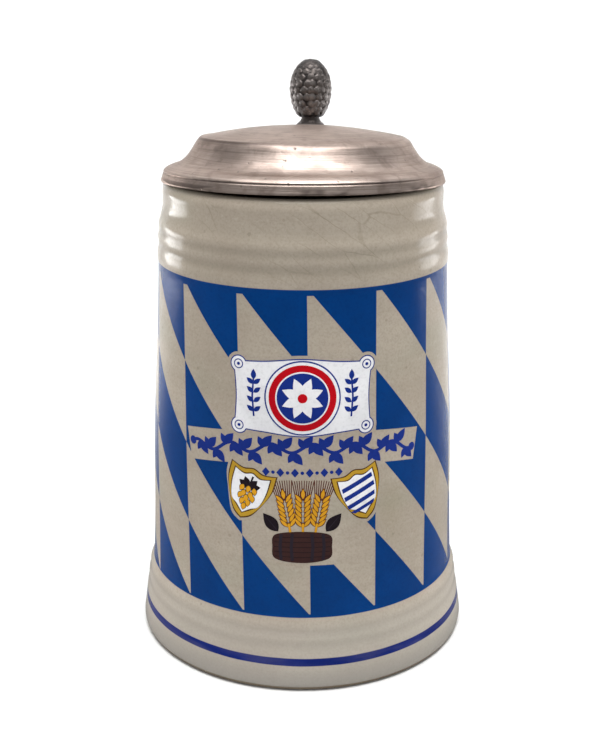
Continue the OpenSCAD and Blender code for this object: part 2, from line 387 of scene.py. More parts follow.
def pewter_group():
    """Old pewter: warm and cool clouds, scratches along Brush, grime, small pits."""
    g, given, out = new_group(
        "old pewter", {"Place": VECTOR, "Brush": VECTOR, "Grime": FLOAT, "Dark": FLOAT}, FINISH)
    place, brush = given["Place"], given["Brush"]
    clouds = g.noise(place, 75.0, 4.0, 0.6)
    blots = g.noise(place, 210.0, 3.0, 0.65, 0.6)
    fine = g.noise(brush, 1.0, 3.0, 0.65)
    broad = g.noise(g.scaled(brush, (0.22,) * 3), 1.0)
    tone = g.mix(g.step(0.32, 0.68, clouds), (0.440, 0.362, 0.320), (0.300, 0.242, 0.212))
    tone = g.mix(g.mul(g.step(0.48, 0.72, blots), 0.8, given["Grime"]), tone, (0.125, 0.094, 0.082))
    tone = g.tint(
        tone,
        (0.50, 0.42, 0.66, fine, (0.170, 0.132, 0.112)),
        (0.34, 0.46, 0.24, broad, (0.60, 0.51, 0.46)))
    # short stray scratches lying every way
    stray = 0.0
    for turn, scale in ((0.5, 46.0), (2.1, 60.0), (3.7, 38.0)):
        turned = g.node("ShaderNodeVectorRotate", {"Vector": place, "Angle": turn,
                        "Axis": (0.3, 0.5, 0.81)}, rotation_type="AXIS_ANGLE").outputs[0]
        cell = g.cells(g.scaled(turned, (scale * 9, scale, scale * 9)), 1.0)
        line = g.mul(g.step(0.11, 0.03, cell["Distance"]), g.step(0.62, 0.8, g.split(cell["Color"])[0]))
        stray = g.math("MAXIMUM", stray, line)
    tone = g.mix(g.mul(stray, 0.35), tone, (0.20, 0.17, 0.155))
    pits = g.cells(place, 520.0)
    pit = g.mul(g.step(0.24, 0.10, pits["Distance"]), g.step(0.80, 0.95, g.split(pits["Color"])[1]))
    tone = g.mix(g.mul(pit, 0.7), tone, (0.08, 0.065, 0.06))
    black = g.mix(g.step(0.3, 0.7, blots), (0.034, 0.031, 0.031), (0.088, 0.083, 0.082))
    g.join(out["Colour"], g.mix(given["Dark"], tone, black))
    g.join(out["Roughness"], g.add(
        0.23, g.mul(clouds, 0.13), g.mul(blots, 0.08, given["Grime"]), g.mul(fine, 0.06)))
    g.join(out["Height"], g.add(
        g.mul(fine, 0.30), g.mul(clouds, 0.30), g.mul(stray, -0.25), g.mul(pit, -0.45), g.mul(blots, 0.12)))
    return g.tree


GLAZE = glaze_group()
ENAMEL = enamel_group()
PEWTER = pewter_group()

BAND_BLUE = (0.0003, 0.041, 0.190, 1)
LINE_BLUE = (0.006, 0.018, 0.160, 1)
UNDER_GLAZE = dict(Specular_IOR_Level=0.08, IOR=1.5)
WARM_EDGE = (0.80, 0.73, 0.69, 1)  # what turned metal leans to where it is seen edge on
GLAZE_DEPTH = 0.00028
PEWTER_DEPTH = 0.00022


def lozenge_mask(g, along, up):
    """1 on the bare lozenges of the band, 0 on its blue ones."""
    c, s = math.cos(LOZENGE_LEAN), math.sin(LOZENGE_LEAN)
    middle = (BAND_LOW + BAND_HIGH) / 2
    rise = g.sub(up, middle)
    u = g.sub(g.add(g.mul(along, c), g.mul(rise, s)), LOZENGE_U)
    v = g.add(g.sub(g.mul(rise, c), g.mul(along, s)), middle - LOZENGE_Z)
    column = g.math("DIVIDE", u, LOZENGE_W)
    row = g.add(g.math("DIVIDE", v, LOZENGE_H), column)
    # each triangle wave is 0 on an edge; their signs make the checkerboard
    soft = 0.0025
    across, upward = (
        g.step(-soft, soft, g.sub(g.math("PINGPONG", g.add(count, 0.5), 1.0), 0.5), -1.0, 1.0)
        for count in (column, row))
    checker = g.add(0.5, g.mul(across, upward, -0.5))
    return g.mul(checker, g.between(LOZENGE_LOW, LOZENGE_HIGH, 0.06, g.add(v, LOZENGE_Z)))


def stoneware(name, decorated):
    """Glazed stoneware, with the printed band and painted line where it is decorated."""
    material, g, shader, place = new_material(name, **UNDER_GLAZE)
    x, y, up = g.split(g.scaled(place, (1 / MM,) * 3))
    radius = g.length(x, y)
    angle = g.math("ARCTAN2", x, g.mul(y, -1.0))
    along = g.mul(g.sub(angle, PRINT_TURN), radius)
    craze = g.mul(g.step(112.0, 124.0, up), g.step(139.0, 134.0, up)) if decorated else 0.0
    # the glaze is strained one way, so its cracks run long and slanting
    strain = g.bundle(g.add(g.mul(along, 0.034), g.mul(up, -0.024)),
                      g.add(g.mul(along, 0.125), g.mul(up, 0.180)), 0.0)
    glaze = place_group(g, GLAZE, Place=place, Strain=strain, Crazing=craze)
    colour, rough = glaze["Colour"], glaze["Roughness"]
    if decorated:
        # painted shade: the colour is darkened in the throwing grooves and under the lip
        groove_shade = g.add(*(g.mul(g.hump(up, z, 1.5), share) for z, share in zip(
            (*GROOVES, 129.6), (0.30, 0.34, 0.28, 0.28, 0.16))))
        colour = g.mix(groove_shade, colour, (0.20, 0.178, 0.140))
        # the clay is a little warmer and paler in the base, and the colour turns darker and greyer towards
        # the foot
        colour = g.tint(
            colour,
            (0.30, 24.0, 16.0, up, (0.54, 0.51, 0.47)),
            (0.55, 9.5, 2.0, up, (0.235, 0.230, 0.215)))
        outside = g.step(39.9, 40.1, radius)
        # brown-green blush where the kiln's flame touched one side
        blush = g.mul(g.hump(angle, 0.62, 0.10), g.hump(up, 52.0, 9.0), 0.16)
        colour = g.mix(blush, colour, (0.22, 0.19, 0.09))
        wobble = g.mul(g.sub(g.noise(place, 60.0), 0.5), 0.35)
        band = g.mul(g.between(BAND_LOW, BAND_HIGH, 0.08, g.add(up, g.mul(wobble, 0.4))),
                     g.step(BAND_END + 0.001, BAND_END - 0.001, g.math("ABSOLUTE", angle)), outside)
        enamel = place_group(g, ENAMEL, Place=place, Colour=BAND_BLUE)
        blue = g.mul(band, g.sub(1.0, lozenge_mask(g, along, up)), enamel["Mask"])
        colour = g.mix(blue, colour, enamel["Colour"])
        # the brushed cobalt line round the base
        line = g.mul(g.between(LINE_LOW, LINE_HIGH, 0.10, g.add(up, g.mul(wobble, 1.1))), outside)
        density = g.step(0.30, 0.6, g.noise(g.scaled(place, (60, 60, 300)), 1.0), 0.93, 1.0)
        cobalt = place_group(g, ENAMEL, Place=place, Colour=LINE_BLUE)
        colour = g.mix(g.mul(line, density), colour, cobalt["Colour"])
        # bare clay on the foot ring, its dark colour partly a painted contact shadow
        bare = g.mul(g.step(1.6, 1.25, g.add(up, wobble)), g.step(20.0, 24.0, radius))
        colour = g.mix(bare, colour, (0.155, 0.125, 0.090))
        rough = g.add(rough, g.mul(bare, 0.55), g.mul(blue, 0.03))
    dress(g, shader, colour, rough, glaze["Height"], GLAZE_DEPTH)
    return material


def enamel_print(name, colour):
    """One printed colour under the glaze."""
    material, g, shader, place = new_material(name, **UNDER_GLAZE)
    enamel = place_group(g, ENAMEL, Place=place, Colour=(*colour, 1))
    clouds = g.noise(place, 34.0, 3.0, 0.55)
    height = g.add(g.mul(clouds, 0.5), g.mul(g.noise(place, 420.0), 0.22))
    dress(g, shader, enamel["Colour"], g.add(0.12, g.mul(clouds, 0.08)), height, GLAZE_DEPTH)
    return material


def turned_pewter(name):
    """Pewter turned on a lathe: fine lines run round the lid's axis."""
    material, g, shader, place = new_material(name, Metallic=1.0, Specular_Tint=WARM_EDGE)
    # the lid's own level frame, from the foot of its axis, in metres
    local = g.node("ShaderNodeMapping", {"Vector": place, "Location": tuple(LID_SEAT @ LID_AXIS * MM),
                   "Rotation": (-REST_TILT, 0, 0)}, vector_type="TEXTURE").outputs[0]
    x, y, z = g.split(local)
    radius = g.length(x, y)
    angle = g.math("ARCTAN2", y, x)
    brush = g.bundle(g.mul(radius, 2600.0), g.mul(g.math("SINE", angle), 2.2),
                     g.add(g.mul(z, 2600.0), g.mul(g.math("COSINE", angle), 2.2)))
    old = place_group(g, PEWTER, Place=place, Brush=brush, Grime=0.55)
    radius_mm, height_mm = g.mul(radius, 1 / MM), g.mul(z, 1 / MM)
    # painted shade under the plateau's edge, mostly on the left, and in the turned line of the band
    left = g.step(0.45, -0.25, g.math("COSINE", angle))
    shade_under_edge = g.mul(g.hump(radius_mm, 29.75, 0.40), g.step(9.0, 10.5, height_mm), left, 0.75)
    shade_in_line = g.mul(g.hump(height_mm, 2.72, 0.20), g.step(39.0, 39.6, radius_mm), 0.7)
    # painted shade and painted dark reflections in patches along the band's lower edge
    patch = g.step(0.44, 0.54, g.noise(g.scaled(place, (52.0, 52.0, 210.0)), 1.0, 3.0, 0.6))
    shade_and_dark_reflection = g.mul(patch, g.step(2.1, 1.0, height_mm), 0.72)
    shade = g.math("MINIMUM", g.add(shade_under_edge, shade_in_line, shade_and_dark_reflection), 0.85)
    colour = g.mix(shade, old["Colour"], (0.075, 0.058, 0.052))
    dress(g, shader, colour, old["Roughness"], old["Height"], PEWTER_DEPTH)
    return material


def cast_pewter(name):
    """Pewter as cast and filed, for the strap, bracket and tang."""
    material, g, shader, place = new_material(name, Metallic=1.0)
    brush = g.scaled(place, (300.0, 1500.0, 260.0))
    old = place_group(g, PEWTER, Place=place, Brush=brush, Grime=0.6)
    dress(g, shader, old["Colour"], old["Roughness"], old["Height"], PEWTER_DEPTH)
    return material


def blackened_pewter(name, relief):
    """Dark pewter, and with relief black in its hollows and rubbed pale on its raised points."""
    material, g, shader, place = new_material(name, Metallic=0.85)
    brush = g.scaled(place, (700.0,) * 3)
    old = place_group(g, PEWTER, Place=place, Brush=brush, Grime=0.9, Dark=0.80)
    colour = old["Colour"]
    if relief:
        raised = g.node("ShaderNodeAttribute", attribute_name="raised").outputs["Fac"]
        worn = g.mul(g.step(0.50, 0.95, raised), g.step(0.35, 0.6, g.noise(place, 480.0), 0.35, 1.0))
        colour = g.mix(g.mul(worn, 0.42), colour, (0.38, 0.355, 0.345))
        colour = g.tint(colour, (0.75, 0.34, 0.05, raised, (0.022, 0.019, 0.019)))
    dress(g, shader, colour, g.add(old["Roughness"], 0.08), old["Height"], 0.0003)
    return material


def drawn_steel(name):
    material, g, shader, place = new_material(name, Metallic=1.0)
    lines = g.noise(g.scaled(place, (40.0, 3000.0, 3000.0)), 1.0)
    colour = g.mix(lines, (0.35, 0.34, 0.33), (0.55, 0.54, 0.52))
    dress(g, shader, colour, g.add(0.3, g.mul(lines, 0.2)), lines, 0.0001, 0.5)
    return material


# ---- vessel ----

def wall_radius(z):
    """Outer radius of the wall: taper, belly, stepped base, collar, lip zone and throwing grooves."""
    taper = WAIST_R + (SHOULDER_R - WAIST_R) * (z - BASE_TOP_Z) / (115 - BASE_TOP_Z)
    upright = taper + 0.5 * hump(z, 66, 36) + 0.3 * ramp(113.2, 116.8, z)
    in_base = 1 - ramp(BASE_TOP_Z - 2.9, BASE_TOP_Z + 1.1, z)
    base_cone = BASE_R - 0.142 * (z - 2.5)
    in_lip = ramp(124.5, 131.5, z)
    grooves = sum(0.26 * hump(z, centre, 2.2 if centre > BASE_TOP_Z else 2.1) for centre in GROOVES)
    return upright + (base_cone - upright) * in_base + (LIP_R - upright) * in_lip - grooves


def wall_wander(angle, z):
    """Small unevenness of a hand-finished wall, none where the print lies flat."""
    share = ramp(BAND_HIGH, BAND_HIGH + 6, z) * (1 - ramp(130, 134, z)) + 1 - ramp(10, BASE_TOP_Z, z)
    spot = Vector((math.cos(angle) * 1.6, math.sin(angle) * 1.6, z * 0.09))
    return 0.16 * share * noise.noise(spot)


def make_vessel(material):
    lip_in = LIP_R - WALL
    round_z = LIP_Z - 3.6
    low, high = 2.6, round_z - 0.4
    heights = [low + (high - low) * i / 128 for i in range(129)]
    outline = [(0, 1.6), (20, 1.6), (38.6, 1.6)]
    outline += arc((38.6, 0.8), 1.2, 0.8, 90, 15, 4)
    outline += arc((41.3, 0.4), 0.8, 0.4, 200, 270, 4)
    outline += arc((48.4, 1.6), 1.75, 1.6, -90, 0, 8)
    outline += [(wall_radius(z), z) for z in heights]
    outline += arc((LIP_R - 2.3, round_z), 2.3, 3.6, 0, 90, 12)
    outline += arc((lip_in + 1.8, LIP_Z - 1.8), 1.8, 1.8, 95, 180, 8)
    inner_low = FLOOR_Z + 9
    outline += [(lip_in + (WELL_R - lip_in) * t / 12, LIP_Z - 6 + (inner_low - LIP_Z + 6) * t / 12)
                for t in range(13)]
    outline += arc((WELL_R - 8, FLOOR_Z + 8), 8, 8, 0, -90, 10)
    outline += [(20, FLOOR_Z - 0.2), (8, FLOOR_Z - 0.1), (0, FLOOR_Z)]
    bm = lathe(outline, 192)
    for v in bm.verts:
        radius = math.hypot(v.co.x, v.co.y)
        if radius > 39.5 and v.co.z > 2.5:
            angle = math.atan2(v.co.x, -v.co.y)
            grow = 1 + wall_wander(angle, v.co.z) / radius
            v.co.x *= grow
            v.co.y *= grow
    finish_piece("stoneware_body", bm, material, "mug", "stoneware_glaze", ["vessel"])


# ---- handle and pewter fittings ----

def handle_ring(w, t, count=40):
    """Superellipse section of the handle as (across, out) points."""
    def flat(x):
        return math.copysign(abs(x) ** 0.72, x)

    angles = [math.tau * i / count for i in range(count)]
    return [(flat(math.cos(a)) * w / 2, flat(math.sin(a)) * t / 2) for a in angles]


def handle_route():
    """(distance along, y, z, heading below level) down the handle's straight runs and tangent arcs."""
    y, z, heading, along = 38.8, HANDLE_Z, 0.0, 0.0
    route = [(along, y, z, heading)]
    arcs = [(r * math.radians(turn), math.radians(turn), steps)
            for r, turn, steps in ((20, 100, 20), (90, 25, 14), (30, 30, 10))]
    for length, turn, steps in [(58 - y, 0.0, 16), *arcs, (10.4, 0.0, 10)]:
        half = turn / steps / 2
        chord = length / steps * (math.sin(half) / half if turn else 1)
        for _ in range(steps):
            y += chord * math.cos(heading + half)
            z -= chord * math.sin(heading + half)
            heading += turn / steps
            along += length / steps
            route.append((along, y, z, heading))
    return route


def make_handle(material):
    route = handle_route()
    total = route[-1][0]
    rings = []
    for along, y, z, heading in route:
        taper = max(0.0, (along - 19) / (total - 19))
        # the roots spread where the clay was smeared on to the wall
        top_root = max(0.0, 1 - along / 9.0) ** 2.2
        tail_root = max(0.0, 1 - (total - along) / 11.0) ** 2.0
        w = HANDLE_W * (1 - 0.14 * taper) * (1 + 0.30 * top_root + 0.34 * tail_root)
        t = HANDLE_T * (1 - 0.10 * taper) * (1 + 0.55 * top_root + 0.40 * tail_root)
        ring = []
        for across, out in handle_ring(w, t):
            # two shallow finger grooves run down the outer face
            if out > 0:
                out -= 0.5 * ramp(0.2, 1, 2 * out / t) * hump(abs(across), w * 0.20, w * 0.13)
            ring.append((across, y + out * math.sin(heading), z + out * math.cos(heading)))
        rings.append(ring)
    finish_piece("pulled_handle", loft(rings), material, "mug", "stoneware_glaze", ["handle"], sharp=60)


def make_strap(material):
    """Beaded pewter loop, bedded on the handle."""
    y0, y1 = STRAP_LOW.y, STRAP_HIGH.y
    across = smooth_line([(0.0, 0.9), (0.12, 1.55), (0.55, 1.80), (1.3, 1.78), (2.0, 1.30), (4.0, 1.42),
                          (6.0, 1.30), (6.7, 1.78), (7.45, 1.80), (7.88, 1.55), (8.0, 0.9)], 3)
    scale = (y1 - y0) / 8.0
    loop = [(0.0, -0.12), *across, (8.0, -0.12)]
    rings = []
    for along, lift in loop:
        ring = handle_ring(HANDLE_W + 2 * lift, HANDLE_T + 2 * lift, 72)
        rings.append([(a, y0 + along * scale, HANDLE_Z + b) for a, b in ring])
    finish_piece("strap_on_handle", loft(rings, closed_loop=True), material, "mug", "pewter",
                 ["handle_strap"], sharp=50)


def soften_cad(name, node, material, body):
    """A merged copy of a pewter CAD node with its hard edges rounded."""
    bm = bmesh.new()
    bm.from_mesh(frame["nodes"][node].data)
    bmesh.ops.scale(bm, vec=(1 / MM,) * 3, verts=bm.verts)
    bmesh.ops.remove_doubles(bm, verts=bm.verts, dist=1e-3)
    bmesh.ops.dissolve_limit(bm, angle_limit=math.radians(1.0), verts=bm.verts, edges=bm.edges)
    hard = [e for e in bm.edges if len(e.link_faces) == 2 and e.calc_face_angle(0) > math.radians(30)]
    bmesh.ops.bevel(bm, geom=hard, offset=0.35, offset_type="OFFSET", segments=3, profile=0.5,
                    affect="EDGES", material=-1, clamp_overlap=True)
    finish_piece(name, bm, material, body, "pewter", [node], sharp=40)


def make_pin_caps(material):
    outline = [(0, 1.0), *arc((0, 0), 2.7, 1.0, 78, 8, 6), (2.75, 0), (2.2, -0.25), (0, -0.25)]
    for side, label in ((-1, "left"), (1, "right")):
        bm = lathe(outline, 40)
        turn = Matrix.Rotation(side * math.pi / 2, 4, "Y")
        place = Matrix.Translation((side * HINGE_W / 2, HINGE.y, HINGE.z))
        bmesh.ops.transform(bm, matrix=place @ turn, verts=bm.verts)
        finish_piece(f"pin_plug_{label}", bm, material, "mug", "pewter", [f"pin_cap_{label}"])


# ---- lid ----

def make_lid_shell(material):
    shoulder = smooth_line([
        (37.4, 4.55), (36.2, 4.95), (35.0, 5.6), (33.8, 6.6), (32.9, 7.6), (31.7, 9.3), (30.65, 11.0),
        (30.0, 11.8), (29.2, 12.3), (28.3, 12.55)], 5)
    dome = [(28.3 * (1 - t / 14), 12.55 + DOME_RISE * (1 - (1 - t / 14) ** 2)) for t in range(1, 15)]
    under = [(0, 13.7), (10, 13.4), (18, 12.4), (22, 11.4), (26.5, 10.5), (28.2, 9.4),
             (29.6, 6.7), (32.0, 4.5), (33.6, 3.82)]
    outline = [*shoulder, *dome, *smooth_line(under, 4), (37.4, 3.8), (37.4, 4.55)]
    bm = lathe(outline, 192)
    for v in bm.verts:
        radius = math.hypot(v.co.x, v.co.y)
        if radius > 1:
            # the plateau's edge is crisp on the left and worn round on the right
            crisp = ramp(0.35, -0.55, v.co.x / radius)
            v.co.z += 0.22 * crisp * hump(radius, 29.35, 0.9) * ramp(11.2, 11.9, v.co.z)
            v.co.z -= 0.18 * (1 - crisp) * hump(radius, 29.6, 1.6) * ramp(11.0, 11.7, v.co.z)
            v.co.z += 0.10 * noise.noise(Vector((v.co.x, v.co.y, 0)) * 0.07) * ramp(37.0, 30, radius)
    finish_on_lid("lid_dome", bm, LID_AXIS, material, "pewter", "lid_shell", sharp=60)


def make_lid_rim(material):
    """A band that flares to a lip below, under a fine turned line and a rounded shoulder."""
    outline = smooth_line([
        (SKIRT_R, 0.2), (SKIRT_R + 0.12, 0.02), (40.55, 0.0), (RIM_R, 0.2), (RIM_R, 0.55), (40.58, 1.0),
        (40.36, 1.7), (40.16, 2.3), (39.92, 2.58), (39.98, 2.8), (40.02, 3.0), (39.8, 3.3), (39.3, 3.72),
        (38.7, 4.06), (38.0, 4.36), (37.42, 4.57)], 4)
    outline += [(37.42, 3.8), (38.5, 3.3), (39.45, 2.4), (SKIRT_R, 1.3), (SKIRT_R, 0.2)]
    bm = lathe(outline, 192)
    for v in bm.verts:
        angle = math.atan2(v.co.y, v.co.x)
        v.co.z += 0.06 * noise.noise(Vector((math.cos(angle) * 2, math.sin(angle) * 2, 5)))
    finish_on_lid("lid_rim_ring", bm, LID_AXIS, material, "pewter", "lid_rim", sharp=50)


def make_post(material):
    outline = smooth_line([
        (0, -0.3), (4.2, -0.3), (4.6, 0.4), (4.7, 3.0), (4.65, 5.2), (4.3, 5.9), (3.4, 6.7),
        (2.85, 7.8), (2.85, 8.7), (3.15, 9.5), (2.6, 10.2), (0, 10.3)], 4)
    bm = lathe(outline, 48)
    finish_on_lid("thumblift_stem", bm, POST, material, "dark_pewter", "thumblift_post", sharp=50)


def cone_radius(t):
    """Radius over the scales at height share t."""
    x = (0.44 - t) / 0.62 if t < 0.44 else (t - 0.44) / 0.56
    return CONE_R * math.sqrt(max(0.0, 1 - x * x))


def make_cone(material):
    """Rows of upturned scales on an egg-shaped core, fused into one casting."""
    rng = random.Random(7)
    inset, sunk = 0.56, 0.58
    core = [(max(0.0, cone_radius(i / 24) - inset), CONE_H * i / 24) for i in range(24)]
    bm = lathe([(0, 0.0), *core, (0, CONE_H - 0.45)], 40)
    for row in range(12):
        phi = math.radians(-51.0 + 12.4 * row)
        reach = (0.56 if phi > 0 else 0.62) * CONE_H
        radius, height = CONE_R * math.cos(phi), 0.42 * CONE_H + reach * math.sin(phi)
        slope = math.atan2(CONE_R * math.sin(phi), reach * math.cos(phi))
        place = Matrix.Translation((0, sunk * math.cos(slope) - radius, height - sunk * math.sin(slope)))
        lean = Matrix.Rotation(math.radians(8) - slope, 4, "X")
        count = max(3, round(math.tau * radius / 2.45))
        for k in range(count):
            angle = math.tau * (k + 0.5 * (row % 2)) / count + rng.uniform(-0.08, 0.08)
            size = rng.uniform(0.93, 1.07)
            out = bmesh.ops.create_uvsphere(bm, u_segments=12, v_segments=8, radius=1.0)
            for v in out["verts"]:
                # a scale is as broad as it is tall and a little pointed at its free end
                v.co.x *= 1.30 * size * (1 - 0.22 * ramp(0.1, 1.0, v.co.z))
                v.co.y *= 0.42 * size
                v.co.z *= 1.28 * size
            turn = Matrix.Rotation(angle, 4, "Z")
            bmesh.ops.transform(bm, matrix=turn @ place @ lean, verts=out["verts"])
    bmesh.ops.recalc_face_normals(bm, faces=bm.faces)
    rough = new_mesh("cone_rough", bm)
    fuse = rough.modifiers.new("fuse", "REMESH")
    fuse.mode = "VOXEL"
    fuse.voxel_size = 0.18
    evaluated = rough.evaluated_get(bpy.context.evaluated_depsgraph_get())
    bm = bmesh.new()
    bm.from_mesh(evaluated.to_mesh())
    bpy.data.objects.remove(rough)
    bmesh.ops.smooth_vert(bm, verts=bm.verts, factor=0.5, use_axis_x=True, use_axis_y=True, use_axis_z=True)
    raised = bm.verts.layers.float.new("raised")
    for v in bm.verts:
        t = max(0.0, min(1.0, v.co.z / CONE_H))
        v[raised] = (math.hypot(v.co.x, v.co.y) - cone_radius(t) + inset) / 0.50
        v.co += v.normal * (0.08 * noise.noise(v.co * 1.1) + 0.09 * noise.noise(v.co * 2.6))
    foot = POST + Vector((0, 0, POST_H))
    finish_on_lid("pine_cone", bm, foot, material, "dark_pewter", "thumblift_cone", sharp=180, merge=0)


# ---- printed emblem: flat shapes in millimetres, wrapped on to the wall ----

PRINT_STEP = 0.018  # each colour lies this much above the one under it


def wrap_print(name, shapes, layer, ink):
    """Cuts flat shapes of (along, up) points into strips and bends them round the wall."""
    bm = bmesh.new()
    for index, points in enumerate(shapes):
        part = bmesh.new()
        face = part.faces.new([part.verts.new((x, y, 0)) for x, y in points])
        if face.normal.z < 0:
            bmesh.ops.reverse_faces(part, faces=[face])
        bmesh.ops.triangulate(part, faces=part.faces)
        for axis, normal, span in ((0, Vector((1, 0, 0)), 1.6), (1, Vector((0, 1, 0)), 6.0)):
            cut = math.floor(min(p[axis] for p in points) / span) * span + span
            while cut < max(p[axis] for p in points):
                bmesh.ops.bisect_plane(part, geom=part.verts[:] + part.edges[:] + part.faces[:],
                                       plane_co=normal * cut, plane_no=normal, dist=1e-5)
                cut += span
        lift = 0.03 + PRINT_STEP * layer + 0.0016 * (index % 10)
        top = new_verts(bmesh.ops.extrude_face_region(part, geom=part.faces[:])["geom"])
        for v in part.verts:
            v.co.z = -0.03
        for v in top:
            v.co.z = lift
        bmesh.ops.remove_doubles(part, verts=part.verts, dist=1e-5)
        bmesh.ops.recalc_face_normals(part, faces=part.faces)
        for v in part.verts:
            z = v.co.y
            radius = wall_radius(z)
            angle = v.co.x / radius + PRINT_TURN
            radius += wall_wander(angle, z) + v.co.z
            v.co = (radius * math.sin(angle), -radius * math.cos(angle), z)
        scrap = bpy.data.meshes.new("scrap")
        part.to_mesh(scrap)
        part.free()
        bm.from_mesh(scrap)
        bpy.data.meshes.remove(scrap)
    finish_piece(name, bm, INKS[ink], "mug", "stoneware_glaze", sharp=30, merge=0)


def circle(cx, cy, r, count=56):
    return [(cx + r * math.cos(math.tau * i / count), cy + r * math.sin(math.tau * i / count))
            for i in range(count)]


def placed(shapes, cx=0.0, cy=0.0, turn=0.0):
    """Turns flat shapes by degrees and moves them."""
    c, s = math.cos(math.radians(turn)), math.sin(math.radians(turn))
    return [[(cx + x * c - y * s, cy + x * s + y * c) for x, y in points] for points in shapes]


def leaf(length, width, cx=0.0, cy=0.0, turn=0.0):
    """Pointed leaf from (cx, cy), turned by degrees from pointing right."""
    upper = [(length * i / 9, width / 2 * math.sin(math.pi * (i / 9) ** 0.85)) for i in range(10)]
    return placed([upper + [(x, -y) for x, y in upper[-2:0:-1]]], cx, cy, turn)[0]


def stroke(line, width):
    """A line of points drawn as a ribbon of even width; width may be (start, end)."""
    start, end = width if isinstance(width, tuple) else (width, width)
    left, right = [], []
    for i, (x, y) in enumerate(line):
        ax, ay = line[max(0, i - 1)]
        bx, by = line[min(len(line) - 1, i + 1)]
        length = math.hypot(bx - ax, by - ay) or 1.0
        half = (start + (end - start) * i / (len(line) - 1)) / 2
        nx, ny = -(by - ay) / length * half, (bx - ax) / length * half
        left.append((x + nx, y + ny))
        right.append((x - nx, y - ny))
    return left + right[::-1]


def shield(grow=0.0):
    """Heater shield with a slightly hollow top, centred on the origin."""
    w, top, foot = 6.0 + grow, 6.4 + grow, 7.4 + grow * 1.15
    side = smooth_line([(w, top), (w * 0.99, top - 4.5), (w * 0.80, top - 8.6), (w * 0.42, 1.9 - foot),
                        (0, -foot)], 5)
    edge = smooth_line([(-w, top), (-w * 0.45, top - 0.75), (0, top + 0.1), (w * 0.45, top - 0.75),
                        (w, top)], 4)
    return edge[:-1] + side + [(-x, y) for x, y in side[-2:0:-1]]


def plaque(grow=0.0):
    """A broad scroll-shaped panel with hollow sides, centred on the origin."""
    x, y = 18.9 + grow, 9.1 + grow
    top = smooth_line([(-x, y), (-x * 0.55, y + 0.5), (0, y + 1.4), (x * 0.55, y + 0.5), (x, y)], 6)
    side = smooth_line([(x, y), (x - 0.5, y * 0.45), (x - 0.7, 0), (x - 0.5, -y * 0.45), (x, -y)], 5)
    half = top[:-1] + side[:-1]
    return half + [(-px, -py) for px, py in half]


def garland_height(x):
    return 71.9 - 3.0 * (x / 34) ** 2


def garland():
    """A running vine with leaves above and below it."""
    def vine(x):
        return garland_height(x) + 1.25 * math.sin(math.tau * x / 11.6)

    end, count = 33.4, 23
    line = [(x, vine(x)) for x in (-end + 2 * end * i / 140 for i in range(141))]
    shapes = [stroke(line, 0.95)]
    for k in range(count):
        x = -end + 1.4 + (2 * end - 2.8) * (k + 0.5) / count
        side = 1 if k % 2 else -1
        shapes.append(leaf(4.5, 2.5, x, vine(x), side * 50))
        shapes.append(leaf(3.3, 1.9, x + 0.5, vine(x), side * 118))
    return shapes + [circle(x, y, 1.2, 24) for x, y in (line[0], line[-1])]


def barley_ear(cx, cy, turn):
    """(kernels, awns, stalk) of one ear with its foot at (cx, cy)."""
    kernels = [leaf(2.9, 1.05, 0, 8.5, 90)]
    for row in range(6):
        for side in (-1, 1):
            kernels.append(leaf(3.0, 0.90, side * 0.36, row * 1.44 + 0.3, 90 - side * 38))
    awns = [stroke([(x * 0.55, 8.0 - abs(x) * 0.25), (x, 13.9 - abs(x) * 0.1)], (0.34, 0.26))
            for x in (-3.0, -2.35, -1.7, -1.05, -0.35, 0.35, 1.05, 1.7, 2.35, 3.0)]
    stalk = [stroke([(0, -2.2), (0, 1.2)], 0.62)]
    return [placed(shapes, cx, cy, turn) for shapes in (kernels, awns, stalk)]


def grown(points, amount):
    """The same outline pushed out from its own middle."""
    mx, my = (sum(values) / len(points) for values in zip(*points))
    away = [math.hypot(x - mx, y - my) or 1 for x, y in points]
    return [(x + amount * (x - mx) / d, y + amount * (y - my) / d) for (x, y), d in zip(points, away)]


def sprig(side):
    """A short upright twig of paired leaves beside the medallion."""
    x = side * 13.3
    shapes = [stroke([(x, -5.6), (x + side * 0.4, 0), (x, 5.2)], 0.5), leaf(2.9, 1.5, x, 4.6, 90)]
    return shapes + [leaf(2.5, 1.3, x, y, 90 + way * 52) for y in (-4.2, -1.6, 1.0, 3.4) for way in (-1, 1)]


def print_medallion(margin):
    """A rosette in a red and navy ring on a white scroll panel; returns the bare ground round it."""
    cx, cy = 0.0, 85.9

    def curls(r):
        return [circle(sx * 17.6, sy * 8.5, r, 28) for sx in (-1, 1) for sy in (-1, 1)]

    for name, shapes, layer, ink in (
            ("panel_line", [plaque(0.32), *curls(2.42)], 1, "navy"),
            ("panel", [plaque(), *curls(2.1)], 2, "white"),
            ("panel_curl_lines", curls(1.35), 3, "navy"),
            ("panel_curls", curls(1.05), 4, "white"),
            ("panel_curl_eyes", curls(0.45), 5, "navy"),
            ("panel_sprigs", sprig(-1) + sprig(1), 3, "navy")):
        wrap_print(name, placed(shapes, cx, cy), layer, ink)
    for name, r, ink, layer in (
            ("edge", 10.3, "navy", 5), ("rim", 9.9, "white", 6), ("ring", 9.1, "red", 7),
            ("line", 7.3, "white", 8), ("field", 6.9, "navy", 9)):
        wrap_print(f"medallion_{name}", [circle(cx, cy, r, 72)], layer, ink)
    petals = [leaf(5.9, 2.8, cx, cy, 45 * k + 22.5) for k in range(8)]
    wrap_print("medallion_rosette", petals + [circle(cx, cy, 2.2, 32)], 10, "white")
    wrap_print("medallion_eye", [circle(cx, cy, 1.3, 28)], 11, "red")
    block = [(-20.0, -9.6), (20.0, -9.6), (20.0, 9.6), (-20.0, 9.6)]
    return placed([block, plaque(0.32 + margin), *curls(2.42 + margin)], cx, cy)


